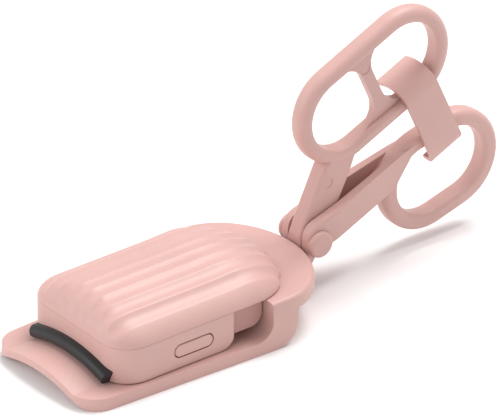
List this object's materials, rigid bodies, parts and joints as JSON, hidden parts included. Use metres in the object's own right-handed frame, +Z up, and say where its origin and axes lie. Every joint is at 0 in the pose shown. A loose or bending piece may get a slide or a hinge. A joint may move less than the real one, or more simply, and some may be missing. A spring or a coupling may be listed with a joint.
{
  "type": "heated eyelash curler",
  "caption": "Scissor-handled heated eyelash curler: arched jaw, lifting heater housing with ribbed cover, silicone pad, finger loops and storage clip.",
  "frame": {"origin": "on the resting surface, on the middle plane, in the middle of the frame's floor plate behind its window", "axes": "+X towards the power button's side, +Y from the jaw back to the finger loops, +Z up from the resting surface"},
  "size_m": [0.041, 0.1303, 0.062],
  "materials": {
    "pink_shell": "fine satin moulded finish",
    "pink_cover": "fine satin moulded finish, fluted",
    "pink_inner": "as moulded",
    "silicone": "soft matte",
    "soft_dome": "translucent silicone",
    "steel": "turned",
    "contact_metal": "nickel-plated spring strip",
    "heater_metal": "rolled sheet",
    "insulation": "woven glass and mica sheet",
    "cell_jacket": "printed sleeve, no lettering",
    "board_green": "solder mask",
    "components": "moulded packages",
    "switch_black": "moulded",
    "white_nylon": "as moulded",
    "lead_red": "pvc insulation",
    "lead_white": "glass-sleeved insulation"
  },
  "bodies": {
    "frame_and_upper_handle": {"frame": "pink_shell", "upper_handle": "pink_shell", "foot_pin": "steel", "foot_screw": "steel", "pivot_pin": "pink_shell", "pivot_cap": "pink_shell", "pivot_washers": "white_nylon"},
    "lower_handle": {"lower_handle": "pink_shell", "drive_pin": "steel"},
    "carriage": {"housing": "pink_shell", "inner_compartment": "pink_inner", "ribbed_cover": "pink_cover", "curling_pad": "silicone", "heater_plate": "heater_metal", "heat_insulator": "insulation", "battery_cell": "cell_jacket", "spring_contact": "contact_metal", "plate_contact": "contact_metal", "circuit_board": "board_green", "board_parts": "components", "tact_switch": "switch_black", "button_spring": "soft_dome", "board_screws": "steel", "core_screws": "steel", "power_leads": "lead_red", "heater_leads": "lead_white"},
    "power_button": {"power_button": "pink_shell"},
    "storage_clip": {"storage_clip": "pink_shell"}
  },
  "joints": [
    {"name": "handle_opening", "type": "hinge", "parent": "frame_and_upper_handle", "child": "lower_handle", "pos_m": [0, 0.0286, 0.0122], "axis": [-1, 0, 0], "range_deg": [0, 18]},
    {"name": "carriage_lift", "type": "slide", "parent": "frame_and_upper_handle", "child": "carriage", "axis": [0, 0, 1], "range_m": [0, 0.0057]},
    {"name": "clip_removal", "type": "slide", "parent": "frame_and_upper_handle", "child": "storage_clip", "axis": [1, 0, 0], "range_m": [0, 0.0217]},
    {"name": "button_press", "type": "slide", "parent": "carriage", "child": "power_button", "axis": [-1, 0, 0], "range_m": [0, 0.0004], "stiffness_N_per_m": 600, "springref_m": -0.0003}
  ],
  "couplings": [
    {"joint": "carriage_lift", "follows": "handle_opening", "m_per_rad": 0.017943},
    {"joint": "clip_removal", "follows": "handle_opening", "m_per_rad": 0.068755}
  ]
}
